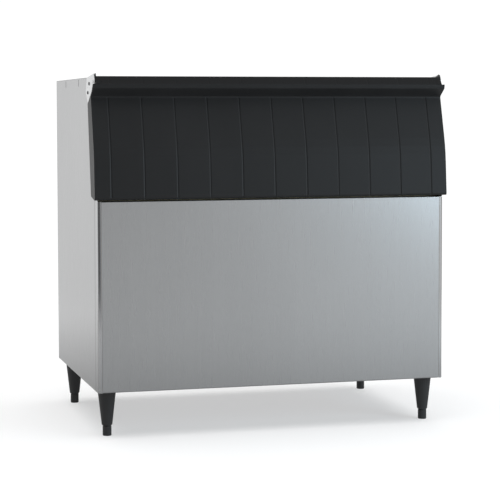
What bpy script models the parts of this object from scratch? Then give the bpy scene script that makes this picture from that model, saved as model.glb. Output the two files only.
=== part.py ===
"""Insulated ice storage bin with a top-hinged moulded door, on four tapered legs.

Metres, +Z up. The bin faces -Y and stands on z = 0, and its box is centred on x = 0 and y = 0.
Side outlines are written as (setback, height): setback is how far a point lies behind the lower
front panel's face, height is measured from the floor. A drop is measured down from the bin's top.
"""
import math

import bmesh
import bpy
from mathutils import Matrix, Vector

# Overall size
WIDTH = 1.182
DEPTH = 0.825
TOTAL_HEIGHT = 1.168
LEG_HEIGHT = 0.152

# Fits and steps
GAP = 0.0003
RUNNING_CLEARANCE = 0.0001
CUT_OVERRUN = 0.02
ARC_STEPS = 3
CORNER_STEPS = 6
TURN_STEPS = 24
WELD = 0.00001

# Cabinet sheet metal
SHEET = 0.0012
CORNER_RADIUS = 0.011
BEND_RADIUS = 0.003
FRONT_RETURN = 0.0135
REAR_RETURN = 0.022
SEAM = 0.0006
SILL_DROP = 0.400
PANEL_HEM = 0.018
TOP_FRAME_RIM = 0.056
TOP_FRAME_FRONT = 0.060
TOP_FRAME_LIP = 0.014

# Slots for the ice maker's straps in each side panel, and the rail behind them
SLOT_WIDTH = 0.006
SLOT_LENGTH = 0.022
SLOT_DROP = 0.005
SLOT_SETBACK_SHARES = (0.41, 0.735)
RAIL_SHEET = 0.002
RAIL_LEG = 0.030

# Insulation and liner
INSULATION = 0.050
LINER_WALL = 0.004
LINER_BEND = 0.014
LINER_SIDE_CLEARANCE = 0.0025
FRONT_WALL_SETBACK = 0.090
LEDGE_DROP = 0.344
SILL_FLANGE = 0.054

# Slanted seat of the door, and the header above the opening
SEAT_LEAN = math.radians(9.6)
SEAT_SILL_SETBACK = 0.0425
HEADER_SETBACK = 0.086
HEADER_HEIGHT = 0.040
SEAT_PLATE = 0.004
SEAT_PLATE_TOP_DROP = 0.010
SEAT_PLATE_FOOT_DROP = 0.110
PANEL_FRONT_CLEARANCE = 0.004

# Door shell
DOOR_OVERHANG = 0.009
DOOR_WALL = 0.004
DOOR_PROUD = 0.011
DOOR_DROP = 0.397
DOOR_TOP_RISE = 0.002
BAND_SETBACK = 0.028
BAND_TOP_DEPTH = 0.018
BAND_TOP_RADIUS = 0.005
CREST_SETBACK = 0.0105
CREST_DROP = 0.0245
CREST_RADIUS = 0.004
LIP_SETBACK = 0.013
LIP_DROP = 0.037
LIP_RADIUS = 0.006
COVE_SETBACK = 0.051
COVE_DROP = 0.063
COVE_RADIUS = 0.008
KNEE_SETBACK = 0.001
KNEE_DROP = 0.2415
KNEE_RADIUS = 0.400
BOTTOM_RADIUS = 0.007
BOTTOM_RISE = 0.010
BOTTOM_SETBACK = 0.034
BOTTOM_END_CLEARANCE = 0.004
BAND_END_INSET = 0.017

# Side flanges of the door shell
FLANGE_TOP_SETBACK = 0.113
FLANGE_TOP_DROP = 0.076
FLANGE_NECK_SETBACK = 0.074
FLANGE_NECK_DROP = 0.046
FLANGE_THROAT_SETBACK = 0.060
FLANGE_THROAT_DROP = 0.033
FLANGE_FRONT_SETBACK = 0.024
FLANGE_FRONT_DROP = 0.026
FLANGE_FOOT_SETBACK = 0.060
FLANGE_FOOT_DROP = 0.384
FLANGE_CORNER = 0.006

# Grooves in the door face
GROOVE_COUNT = 11
GROOVE_WIDTH = 0.0075
GROOVE_DEPTH = 0.0013
BAND_GROOVE_SHARE = 0.4

# Door pan, foam and gasket
PAN_WALL = 0.003
PAN_REACH = 0.068
PAN_ROLL_RADIUS = 0.014
PAN_NECK_DROP = 0.050
PAN_SHOULDER_DROP = 0.074
PAN_CORNER_RADIUS = 0.008
PAN_CLEARANCE = 0.001
FOAM_TOP_DROP = 0.084
GASKET_WIDTH = 0.014
GASKET_THICKNESS = 0.008
GASKET_INSET = 0.006
GASKET_CORNER = 0.020

# Hinge
PIVOT_SETBACK = 0.050
PIVOT_DROP = 0.016
PIN_RADIUS = 0.004
PIN_HEAD_RADIUS = 0.0055
PIN_HEAD_THICKNESS = 0.0008
CAP_SIDE_CLEARANCE = 0.0012
CAP_EAR = 0.0035
CAP_EAR_SET = 0.0005
CAP_PEAK_RISE = 0.0115
CAP_PEAK_RADIUS = 0.0025
CAP_BACK_RADIUS = 0.022
CAP_CORNER = 0.006
CAP_HEEL_SETBACK = 0.030
BRACKET_PLATE = 0.0015
BRACKET_EAR_SETBACK = 0.025
BRACKET_PEAK_SETBACK = 0.036
BRACKET_PEAK_RISE = 0.0105
BRACKET_CHIN_SETBACK = 0.027
BRACKET_CHIN_DROP = 0.036
BRACKET_WAIST_SETBACK = 0.060
BRACKET_WAIST_DROP = 0.046
BRACKET_TIP_SETBACK = 0.144
BRACKET_TIP_DROP = 0.086
BRACKET_BACK_SETBACK = 0.186
BRACKET_BACK_DROP = 0.048
BRACKET_TOP_SETBACK = 0.166
BRACKET_TOP_DROP = 0.001
BRACKET_ROUND = 0.007
BRACKET_EAR_ROUND = 0.010

# Screws
SCREW_RADIUS = 0.0025
SCREW_HEAD_RADIUS = 0.0055
SCREW_HEAD_THICKNESS = 0.0022
SCREW_CROWN_SHARE = 0.7
BRACKET_SCREW_SETBACKS = (0.121, 0.146)
BRACKET_SCREW_DROPS = (0.021, 0.050)

# Ice baffle
BAFFLE_SHEET = 0.004
BAFFLE_EAR = 0.026
BAFFLE_TOP_SETBACK = 0.150
BAFFLE_TOP_DROP = 0.030
BAFFLE_FOOT_SETBACK = 0.184
BAFFLE_FOOT_DROP = 0.200
BAFFLE_SCREW_SHARES = (0.2, 0.8)

# Drain
DRAIN_REAR_INSET = 0.125
DRAIN_BORE_RADIUS = 0.0105
DRAIN_TUBE_RADIUS = 0.0145
DRAIN_FLANGE_RADIUS = 0.024
DRAIN_FLANGE = 0.003
DRAIN_REACH = 0.024
DRAIN_NUT_RADIUS = 0.023
DRAIN_NUT_LENGTH = 0.009
NUT_SIDES = 6
STRAINER_RADIUS = 0.019
STRAINER_HEIGHT = 0.016
STRAINER_WALL = 0.002
STRAINER_CUTS = 3
STRAINER_SLOT_WIDTH = 0.003

# Legs and levelling feet
LEG_SIDE_INSET = 0.042
LEG_FRONT_INSET = 0.080
LEG_REAR_INSET = 0.098
LEG_TOP_RADIUS = 0.030
LEG_COLLAR = 0.006
LEG_END_RADIUS = 0.0175
LEG_END_CHAMFER = 0.0025
FOOT_HEIGHT = 0.034
FOOT_RADIUS = 0.0145
FOOT_ROUND = 0.003
FOOT_NECK_RADIUS = 0.0125
FOOT_NECK = 0.003
STUD_RADIUS = 0.006
STUD_LENGTH = 0.048
LEG_STUD = 0.018
SOCKET_RADIUS = 0.034
SOCKET_PLATE = 0.003
SOCKET_BOSS_RADIUS = 0.013
SOCKET_BOSS = 0.022
SOCKET_CLEARANCE = 0.001

# Colour, roughness and metallic value of each finish
STEEL = ((0.52, 0.53, 0.54), 0.32, 0.9)
BRIGHT_STEEL = ((0.72, 0.73, 0.74), 0.25, 1.0)
GALVANISED = ((0.45, 0.46, 0.47), 0.5, 0.8)
BLACK_PLASTIC = ((0.02, 0.02, 0.021), 0.45, 0.0)
GREY_PLASTIC = ((0.20, 0.20, 0.21), 0.5, 0.0)
LINER_PLASTIC = ((0.75, 0.76, 0.76), 0.5, 0.0)
FOAM = ((0.75, 0.66, 0.42), 0.9, 0.0)
RUBBER = ((0.05, 0.05, 0.05), 0.8, 0.0)
DARK_SCREW = ((0.08, 0.08, 0.08), 0.4, 0.9)

# Worked out from the sizes above
HALF_WIDTH = WIDTH / 2
DOOR_HALF = HALF_WIDTH + DOOR_OVERHANG
SILL_HEIGHT = TOTAL_HEIGHT - SILL_DROP
FRAME_UNDERSIDE = TOTAL_HEIGHT - SHEET - GAP
INSIDE_HALF = HALF_WIDTH - SHEET - GAP
INSIDE_REAR = DEPTH - 2 * (SHEET + GAP)
CAVITY_HALF = HALF_WIDTH - INSULATION
CAVITY_FLOOR = LEG_HEIGHT + INSULATION
PAN_UNDERSIDE = LEG_HEIGHT + SHEET + GAP
PAN_TOPSIDE = PAN_UNDERSIDE + SHEET
RAIL_TOP = FRAME_UNDERSIDE - LINER_WALL - GAP
PAN_HALF = HALF_WIDTH - BAND_END_INSET - GAP
PAN_FOOT_DROP = DOOR_DROP - BOTTOM_RISE - DOOR_WALL - 2 * PAN_CLEARANCE
SHELL_DEPTH = DOOR_WALL + GROOVE_DEPTH + PAN_CLEARANCE
DRAIN_SETBACK = DEPTH - DRAIN_REAR_INSET
DOOR_SEAT_DEPTH = (GASKET_THICKNESS + 2 * GAP) / math.cos(SEAT_LEAN)
BRACKET_INNER = HALF_WIDTH + GAP
BRACKET_OUTER = BRACKET_INNER + BRACKET_PLATE
SILL_RETURN = SEAT_SILL_SETBACK + LINER_WALL - GAP
SIDES = {"left": -1, "right": 1}


def seat_setback(height):
    """Setback of the slanted seat plane at a height."""
    return SEAT_SILL_SETBACK + (height - SILL_HEIGHT) * math.tan(SEAT_LEAN)


def seat_height(setback):
    """Height at which the slanted seat plane has a setback."""
    return SILL_HEIGHT + (setback - SEAT_SILL_SETBACK) / math.tan(SEAT_LEAN)


def dropped(setback, drop, radius=0):
    """Corner given by its drop below the bin's top."""
    return (setback, TOTAL_HEIGHT - drop, radius)


def rounded(corners, closed=False, steps=ARC_STEPS):
    """Points of a path whose corners (u, v, radius) become arcs where the radius isn't zero."""
    points = []
    count = len(corners)
    for index, (u, v, radius) in enumerate(corners):
        here = Vector((u, v))
        at_end = not closed and index in (0, count - 1)
        if radius == 0 or at_end:
            points.append(here)
            continue
        before = (Vector(corners[index - 1][:2]) - here).normalized()
        after = (Vector(corners[(index + 1) % count][:2]) - here).normalized()
        half = before.angle(after) / 2
        centre = here + (before + after).normalized() * (radius / math.sin(half))
        start = here + before * (radius / math.tan(half)) - centre
        end = here + after * (radius / math.tan(half)) - centre
        turn = math.atan2(start.x * end.y - start.y * end.x, start.dot(end))
        for step in range(steps + 1):
            points.append(centre + Matrix.Rotation(turn * step / steps, 2) @ start)
    return points


def parallel(path, distance):
    """Open path moved sideways by a distance, to the left of its direction, with mitred corners."""
    moved = []
    for index, point in enumerate(path):
        ways = []
        if index > 0:
            ways.append((point - path[index - 1]).normalized())
        if index < len(path) - 1:
            ways.append((path[index + 1] - point).normalized())
        sides = [Vector((-way.y, way.x)) for way in ways]
        mitre = sum(sides, Vector((0, 0))).normalized()
        moved.append(point + mitre * (distance / mitre.dot(sides[0])))
    return moved


def strip(path, thickness):
    """Closed outline of a bent sheet: a path and its parallel."""
    return path + parallel(path, thickness)[::-1]


def ring(centre, radius, steps=TURN_STEPS):
    """Points of a circle in an outline's plane."""
    turns = [2 * math.pi * step / steps for step in range(steps)]
    return [Vector((centre[0] + radius * math.cos(turn), centre[1] + radius * math.sin(turn))) for turn in turns]


def door_corners():
    """Corners of the door's outer section, from the band's top down to the end of its bottom wall."""
    return [(BAND_SETBACK + BAND_TOP_DEPTH, TOTAL_HEIGHT + DOOR_TOP_RISE, 0),
            (BAND_SETBACK, TOTAL_HEIGHT + DOOR_TOP_RISE, BAND_TOP_RADIUS),
            dropped(CREST_SETBACK, CREST_DROP, CREST_RADIUS), dropped(LIP_SETBACK, LIP_DROP, LIP_RADIUS),
            dropped(COVE_SETBACK, COVE_DROP, COVE_RADIUS), dropped(KNEE_SETBACK, KNEE_DROP, KNEE_RADIUS),
            dropped(-DOOR_PROUD, DOOR_DROP, BOTTOM_RADIUS), dropped(BOTTOM_SETBACK, DOOR_DROP - BOTTOM_RISE)]


# Front panel's plane and the hinge's axis
DOOR_REACH = -min(point.x for point in rounded(door_corners()))
FRONT_Y = (DOOR_REACH - DEPTH) / 2
PIVOT = (0, FRONT_Y + PIVOT_SETBACK, TOTAL_HEIGHT - PIVOT_DROP)

# Scene, collections and materials
for old in list(bpy.data.objects):
    bpy.data.objects.remove(old, do_unlink=True)
PARTS = bpy.data.collections.new("ice_storage_bin")
CUTTERS = bpy.data.collections.new("cutters")
for collection in (PARTS, CUTTERS):
    bpy.context.scene.collection.children.link(collection)


def material(name, finish):
    """Plain principled material of a finish."""
    colour, roughness, metallic = finish
    made = bpy.data.materials.new(name)
    made.use_nodes = True
    shader = made.node_tree.nodes["Principled BSDF"]
    shader.inputs["Base Color"].default_value = (*colour, 1)
    shader.inputs["Roughness"].default_value = roughness
    shader.inputs["Metallic"].default_value = metallic
    return made


def keep(name, mesh, finish):
    """Puts a finished mesh among the parts with its own material, or among the cutters without one."""
    mesh.name = name
    made = bpy.data.objects.new(name, mesh)
    if finish:
        PARTS.objects.link(made)
        mesh.materials.append(material(name + "_finish", finish))
    else:
        CUTTERS.objects.link(made)
        made.hide_render = True
        made.display_type = "WIRE"
    return made


def cut(target, cutter):
    """Takes a cutter's shape out of a target."""
    modifier = target.modifiers.new(cutter.name, "BOOLEAN")
    modifier.operation = "DIFFERENCE"
    modifier.object = cutter


def join(target, addition):
    """Adds a piece's shape to a target."""
    modifier = target.modifiers.new(addition.name, "BOOLEAN")
    modifier.operation = "UNION"
    modifier.object = addition


def plate(name, loops, depth, frame, finish):
    """Flat outline, with any holes, given a depth to both sides of its plane and set in a frame."""
    curve = bpy.data.curves.new(name, "CURVE")
    curve.dimensions = "2D"
    curve.fill_mode = "BOTH"
    curve.extrude = depth / 2
    for loop in loops:
        spline = curve.splines.new("POLY")
        spline.points.add(len(loop) - 1)
        for target, point in zip(spline.points, loop):
            target.co = (point[0], point[1], 0, 1)
        spline.use_cyclic_u = True
    guide = bpy.data.objects.new(name, curve)
    bpy.context.scene.collection.objects.link(guide)
    bpy.context.view_layer.update()
    mesh = bpy.data.meshes.new_from_object(guide.evaluated_get(bpy.context.evaluated_depsgraph_get()))
    bpy.data.objects.remove(guide, do_unlink=True)
    shape = bmesh.new()
    shape.from_mesh(mesh)
    bmesh.ops.remove_doubles(shape, verts=shape.verts, dist=WELD)
    bmesh.ops.recalc_face_normals(shape, faces=shape.faces)
    shape.to_mesh(mesh)
    shape.free()
    mesh.materials.clear()
    made = keep(name, mesh, finish)
    made.matrix_world = frame
    return made


def side_plate(name, outline, near, far, finish=None, holes=()):
    """Outline of (setback, height) drawn out across the bin from one x to another."""
    turn = Matrix(((0, 0, 1, 0), (1, 0, 0, 0), (0, 1, 0, 0), (0, 0, 0, 1)))
    frame = Matrix.Translation(((near + far) / 2, FRONT_Y, 0)) @ turn
    return plate(name, [outline, *holes], abs(far - near), frame, finish)


def level_plate(name, outline, low, high, finish=None, holes=()):
    """Plan outline of (x, setback) drawn up from one height to another."""
    frame = Matrix.Translation((0, FRONT_Y, (low + high) / 2))
    return plate(name, [outline, *holes], high - low, frame, finish)


def end_plate(name, outline, near, far, finish=None):
    """Front outline of (x, height) drawn back from one setback to another."""
    turn = Matrix(((1, 0, 0, 0), (0, 0, -1, 0), (0, 1, 0, 0), (0, 0, 0, 1)))
    frame = Matrix.Translation((0, FRONT_Y + (near + far) / 2, 0)) @ turn
    return plate(name, [outline], far - near, frame, finish)


def block(name, x_range, setbacks, heights, finish=None):
    """Box between two x, two setbacks and two heights."""
    low = Vector((min(x_range), FRONT_Y + setbacks[0], heights[0]))
    high = Vector((max(x_range), FRONT_Y + setbacks[1], heights[1]))
    shape = bmesh.new()
    bmesh.ops.create_cube(shape, size=1, matrix=Matrix.Translation((low + high) / 2) @ Matrix.Diagonal((*(high - low), 1)))
    mesh = bpy.data.meshes.new(name)
    shape.to_mesh(mesh)
    shape.free()
    return keep(name, mesh, finish)


def rod(name, radius, start, end, finish=None):
    """Straight cylinder between two points."""
    way = Vector(end) - Vector(start)
    shape = bmesh.new()
    bmesh.ops.create_cone(shape, cap_ends=True, segments=TURN_STEPS, radius1=radius, radius2=radius, depth=way.length)
    mesh = bpy.data.meshes.new(name)
    shape.to_mesh(mesh)
    shape.free()
    made = keep(name, mesh, finish)
    made.matrix_world = Matrix.Translation((Vector(start) + Vector(end)) / 2) @ way.to_track_quat("Z", "Y").to_matrix().to_4x4()
    return made


def turned(name, profile, place, finish, facing=(0, 0, 1), closed=False):
    """Profile of (radius, height), top to bottom, turned about an axis through a place."""
    points = [(radius, 0, height) for radius, height in profile]
    edges = [(index, index + 1) for index in range(len(points) - 1)]
    if closed:
        edges.append((len(points) - 1, 0))
    mesh = bpy.data.meshes.new(name)
    mesh.from_pydata(points, edges, [])
    made = keep(name, mesh, finish)
    turn = made.modifiers.new("turn", "SCREW")
    turn.angle = 2 * math.pi
    turn.steps = TURN_STEPS
    turn.render_steps = TURN_STEPS
    turn.use_merge_vertices = True
    turn.merge_threshold = WELD
    made.matrix_world = Matrix.Translation(place) @ Vector(facing).to_track_quat("Z", "Y").to_matrix().to_4x4()
    return made


def shell(name, shape, visible, thickness, finish, bend=0, mitred=False):
    """Open surface made solid behind the side that one of its faces shows in a direction."""
    bmesh.ops.recalc_face_normals(shape, faces=shape.faces)
    shape.faces.ensure_lookup_table()
    index, direction = visible
    if shape.faces[index].normal.dot(Vector(direction)) < 0:
        bmesh.ops.reverse_faces(shape, faces=shape.faces)
    mesh = bpy.data.meshes.new(name)
    shape.to_mesh(mesh)
    shape.free()
    made = keep(name, mesh, finish)
    if bend:
        soft = made.modifiers.new("bend", "BEVEL")
        soft.width = bend
        soft.segments = ARC_STEPS
        soft.limit_method = "ANGLE"
        soft.angle_limit = SEAT_LEAN * 2
    solid = made.modifiers.new("wall", "SOLIDIFY")
    solid.thickness = thickness
    solid.offset = -1
    solid.use_even_offset = True
    if mitred:
        solid.solidify_mode = "NON_MANIFOLD"
        solid.nonmanifold_thickness_mode = "CONSTRAINTS"
    return made


def side_panel(label, side):
    """Folded side panel: rounded front corner with its return, rear return, strap slots, screw holes."""
    name = label + "_side_panel"
    inner = HALF_WIDTH - FRONT_RETURN
    path = rounded([(inner, 0, 0), (HALF_WIDTH, 0, CORNER_RADIUS), (HALF_WIDTH, DEPTH, BEND_RADIUS),
                    (HALF_WIDTH - REAR_RETURN, DEPTH, 0)], steps=CORNER_STEPS)
    section = [(side * point.x, point.y) for point in strip(path, SHEET)]
    panel = level_plate(name, section, LEG_HEIGHT, FRAME_UNDERSIDE, STEEL)
    near, far = side * (inner - CUT_OVERRUN), side * (HALF_WIDTH + CUT_OVERRUN)
    front = [(-CUT_OVERRUN, SILL_HEIGHT), (PANEL_FRONT_CLEARANCE, SILL_HEIGHT),
             dropped(HEADER_SETBACK, HEADER_HEIGHT), (HEADER_SETBACK, TOTAL_HEIGHT + CUT_OVERRUN),
             (-CUT_OVERRUN, TOTAL_HEIGHT + CUT_OVERRUN)]
    cut(panel, side_plate(name + "_front_cut", front, near, far))
    for index, share in enumerate(SLOT_SETBACK_SHARES):
        middle = share * DEPTH
        top = TOTAL_HEIGHT - SLOT_DROP
        cut(panel, block("%s_slot_%d" % (name, index + 1), (side * (HALF_WIDTH - 2 * SHEET), far),
                         (middle - SLOT_WIDTH / 2, middle + SLOT_WIDTH / 2), (top - SLOT_LENGTH, top)))
    return panel


def panels():
    """Side, back, front and bottom panels of the cabinet."""
    for label, side in SIDES.items():
        side_panel(label, side)
    back_half = INSIDE_HALF - BEND_RADIUS
    block("back_panel", (-back_half, back_half), (DEPTH - 2 * SHEET - GAP, DEPTH - SHEET - GAP),
          (LEG_HEIGHT, FRAME_UNDERSIDE), GALVANISED)
    front = rounded([(PANEL_HEM, LEG_HEIGHT, 0), (0, LEG_HEIGHT, BEND_RADIUS), (0, SILL_HEIGHT, BEND_RADIUS),
                     (SILL_RETURN, SILL_HEIGHT, 0)])
    half = HALF_WIDTH - FRONT_RETURN - SEAM
    side_plate("front_panel", strip(front, -SHEET), -half, half, STEEL)
    bottom = block("bottom_panel", (-INSIDE_HALF, INSIDE_HALF), (CORNER_RADIUS, INSIDE_REAR),
                   (PAN_UNDERSIDE, PAN_TOPSIDE), GALVANISED)
    for label, place in leg_places().items():
        cut(bottom, rod(label + "_stud_hole", STUD_RADIUS + GAP, place + Vector((0, 0, LEG_HEIGHT)),
                        place + Vector((0, 0, CAVITY_FLOOR))))
    cut(bottom, drain_hole("bottom_drain_hole"))


def top_frame():
    """Pressed frame on top: a flat rim with its inner edge and its front edge folded down."""
    xs = (-HALF_WIDTH, -HALF_WIDTH + TOP_FRAME_RIM, HALF_WIDTH - TOP_FRAME_RIM, HALF_WIDTH)
    front = HEADER_SETBACK - SHEET - GAP
    setbacks = (front, HEADER_SETBACK + TOP_FRAME_FRONT, DEPTH - TOP_FRAME_RIM, DEPTH)
    shape = bmesh.new()
    grid = [[shape.verts.new((x, FRONT_Y + b, TOTAL_HEIGHT)) for b in setbacks] for x in xs]
    for i in range(3):
        for j in range(3):
            if (i, j) != (1, 1):
                shape.faces.new((grid[i][j], grid[i + 1][j], grid[i + 1][j + 1], grid[i][j + 1]))
    hole = [grid[1][1], grid[2][1], grid[2][2], grid[1][2]]
    low = Vector((0, 0, -TOP_FRAME_LIP))
    lips = [shape.verts.new(vert.co + low) for vert in hole]
    for index in range(4):
        after = (index + 1) % 4
        shape.faces.new((hole[index], hole[after], lips[after], lips[index]))
    edge = [grid[i][0] for i in range(4)]
    skirt = [shape.verts.new(vert.co + low) for vert in edge]
    for index in range(3):
        shape.faces.new((edge[index], edge[index + 1], skirt[index + 1], skirt[index]))
    return shell("top_frame", shape, (0, (0, 0, 1)), SHEET, STEEL, mitred=True)


def header():
    """Rail across the top of the opening, and the plate behind it that the gasket's top seats on."""
    top = FRAME_UNDERSIDE
    foot = TOTAL_HEIGHT - HEADER_HEIGHT
    path = rounded([(seat_setback(top) - GAP, top, 0), (HEADER_SETBACK, top, BEND_RADIUS),
                    (HEADER_SETBACK, foot, BEND_RADIUS), (seat_setback(foot) - GAP, foot, 0)])
    side_plate("header_rail", strip(path, SHEET), -INSIDE_HALF, INSIDE_HALF, GALVANISED)
    high = TOTAL_HEIGHT - SEAT_PLATE_TOP_DROP
    low = TOTAL_HEIGHT - SEAT_PLATE_FOOT_DROP
    seat = [(seat_setback(high), high), (seat_setback(high) + SEAT_PLATE, high), (seat_setback(low) + SEAT_PLATE, low),
            (seat_setback(low), low)]
    side_plate("upper_seat_plate", seat, -CAVITY_HALF + GAP, CAVITY_HALF - GAP, LINER_PLASTIC)


def strap_rails():
    """Steel angle behind each side panel's top edge, for the ice maker's straps."""
    front = seat_setback(FRAME_UNDERSIDE) + 2 * LINER_WALL + LINER_BEND
    for label, side in SIDES.items():
        path = [Vector((INSIDE_HALF, RAIL_TOP - RAIL_LEG)), Vector((INSIDE_HALF, RAIL_TOP)),
                Vector((INSIDE_HALF - RAIL_LEG, RAIL_TOP))]
        outline = [(side * point.x, point.y) for point in strip(path, RAIL_SHEET)]
        end_plate(label + "_strap_rail", outline, front, INSIDE_REAR - GAP, GALVANISED)


def liner():
    """Moulded tub with a flange round its top and round the slanted door opening."""
    rear = DEPTH - INSULATION
    flange = HALF_WIDTH - LINER_SIDE_CLEARANCE
    ledge = TOTAL_HEIGHT - LEDGE_DROP
    foot = ledge - SILL_FLANGE * math.cos(SEAT_LEAN)
    top = FRAME_UNDERSIDE
    tub = [(rear, CAVITY_FLOOR), (FRONT_WALL_SETBACK, CAVITY_FLOOR), (FRONT_WALL_SETBACK, ledge),
           (seat_setback(ledge), ledge), (seat_setback(top), top), (rear, top)]
    rim = [(seat_setback(foot), foot), (seat_setback(top), top), (INSIDE_REAR - LINER_SIDE_CLEARANCE, top)]
    shape = bmesh.new()
    walls = []
    rims = []
    for side in (-1, 1):
        walls.append([shape.verts.new((side * CAVITY_HALF, FRONT_Y + b, z)) for b, z in tub])
        rims.append([shape.verts.new((side * flange, FRONT_Y + b, z)) for b, z in rim])
    left, right = walls
    for index in (0, 1, 2, 5):
        after = (index + 1) % 6
        shape.faces.new((left[index], left[after], right[after], right[index]))
    for wall, outer in zip(walls, rims):
        shape.faces.new(wall)
        shape.faces.new((wall[3], wall[4], outer[1], outer[0]))
        shape.faces.new((wall[4], wall[5], outer[2], outer[1]))
    shape.faces.new((left[3], right[3], rims[1][0], rims[0][0]))
    shape.faces.new((left[5], right[5], rims[1][2], rims[0][2]))
    made = shell("liner", shape, (0, (0, 0, 1)), LINER_WALL, LINER_PLASTIC, LINER_BEND)
    cut(made, drain_hole("liner_drain_hole"))
    for name, start, end in baffle_screw_lines():
        cut(made, rod(name + "_liner_hole", SCREW_RADIUS + GAP, start, end))
    return made


def cabinet_foam():
    """Foam between the liner and the panels, with pockets for the leg sockets and the drain."""
    skin = LINER_WALL + GAP
    top = RAIL_TOP - RAIL_LEG - GAP
    behind = LINER_WALL / math.cos(SEAT_LEAN) + GAP
    low = PAN_TOPSIDE + GAP
    front = CORNER_RADIUS
    shoulder = SILL_HEIGHT - SHEET - GAP
    outer = [(front, low), (front, shoulder), (seat_setback(shoulder) + behind, shoulder), (seat_setback(top) + behind, top),
             (INSIDE_REAR, top), (INSIDE_REAR, low)]
    made = side_plate("cabinet_foam", outer, -INSIDE_HALF, INSIDE_HALF, FOAM)
    reach = CAVITY_HALF + skin
    inner = FRONT_WALL_SETBACK - skin
    ledge = TOTAL_HEIGHT - LEDGE_DROP - skin
    tub = [(inner, CAVITY_FLOOR - skin), (DEPTH - INSULATION + skin, CAVITY_FLOOR - skin),
           (DEPTH - INSULATION + skin, TOTAL_HEIGHT), (-CUT_OVERRUN, TOTAL_HEIGHT), (-CUT_OVERRUN, ledge),
           (inner - LINER_BEND, ledge), (inner, ledge - LINER_BEND)]
    cut(made, side_plate("cabinet_foam_tub", tub, -reach, reach))
    sill = ledge - LINER_BEND
    depth = behind + LINER_BEND
    mouth = [(-CUT_OVERRUN, sill), (seat_setback(sill) + depth, sill), (seat_setback(TOTAL_HEIGHT) + depth, TOTAL_HEIGHT),
             (-CUT_OVERRUN, TOTAL_HEIGHT)]
    cut(made, side_plate("cabinet_foam_mouth", mouth, -reach - LINER_BEND, reach + LINER_BEND))
    for label, place in leg_places().items():
        start = place + Vector((0, 0, LEG_HEIGHT))
        cut(made, rod(label + "_pocket", SOCKET_RADIUS + SOCKET_CLEARANCE, start,
                      place + Vector((0, 0, PAN_TOPSIDE + SOCKET_BOSS + SOCKET_CLEARANCE))))
    cut(made, drain_hole("foam_drain_hole"))
    return made


def baffle_screw_lines():
    """Name, start and end of the hole line of each baffle screw, through the ear and the liner's wall."""
    lines = []
    ear_middle = BAFFLE_EAR / 2
    for label, side in SIDES.items():
        for index, share in enumerate(BAFFLE_SCREW_SHARES):
            setback = BAFFLE_TOP_SETBACK + share * (BAFFLE_FOOT_SETBACK - BAFFLE_TOP_SETBACK) + ear_middle
            height = TOTAL_HEIGHT - BAFFLE_TOP_DROP - share * (BAFFLE_FOOT_DROP - BAFFLE_TOP_DROP)
            inner = side * (CAVITY_HALF - GAP - BAFFLE_SHEET - CUT_OVERRUN)
            outer = side * (CAVITY_HALF + LINER_WALL + GAP)
            name = "baffle_screw_%s_%d" % (label, index + 1)
            lines.append((name, Vector((inner, FRONT_Y + setback, height)), Vector((outer, FRONT_Y + setback, height))))
    return lines


def baffle():
    """Sloping ice baffle behind the door opening, with an ear on each side screwed to the liner."""
    half = CAVITY_HALF - GAP
    rows = [(BAFFLE_TOP_SETBACK, TOTAL_HEIGHT - BAFFLE_TOP_DROP), (BAFFLE_FOOT_SETBACK, TOTAL_HEIGHT - BAFFLE_FOOT_DROP)]
    shape = bmesh.new()
    columns = []
    for x, back in ((-half, BAFFLE_EAR), (-half, 0), (half, 0), (half, BAFFLE_EAR)):
        columns.append([shape.verts.new((x, FRONT_Y + setback + back, height)) for setback, height in rows])
    for near, far in zip(columns, columns[1:]):
        shape.faces.new((near[0], near[1], far[1], far[0]))
    made = shell("ice_baffle", shape, (1, (0, -1, 0)), BAFFLE_SHEET, LINER_PLASTIC)
    for name, start, end in baffle_screw_lines():
        cut(made, rod(name + "_ear_hole", SCREW_RADIUS + GAP, start, end))
        inward = (start - end).normalized()
        head = end + inward * (LINER_WALL + 2 * GAP + BAFFLE_SHEET + GAP)
        screw(name, head, inward, LINER_WALL + BAFFLE_SHEET)


def screw(name, head_seat, outward, length):
    """Pan-headed screw whose head sits just clear of its seat."""
    profile = [(0, GAP + SCREW_HEAD_THICKNESS), (SCREW_HEAD_RADIUS * SCREW_CROWN_SHARE, GAP + SCREW_HEAD_THICKNESS),
               (SCREW_HEAD_RADIUS, GAP + SCREW_HEAD_THICKNESS / 2), (SCREW_HEAD_RADIUS, GAP), (SCREW_RADIUS, GAP),
               (SCREW_RADIUS, -length), (0, -length)]
    turned(name, profile, head_seat, DARK_SCREW, outward)


def drain_place(height):
    """Point on the drain's axis at a height."""
    return Vector((0, FRONT_Y + DRAIN_SETBACK, height))


def drain_hole(name):
    """Cutter for the drain tube's hole through the floor's layers."""
    return rod(name, DRAIN_TUBE_RADIUS + GAP, drain_place(LEG_HEIGHT - CUT_OVERRUN), drain_place(CAVITY_FLOOR + CUT_OVERRUN))


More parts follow.
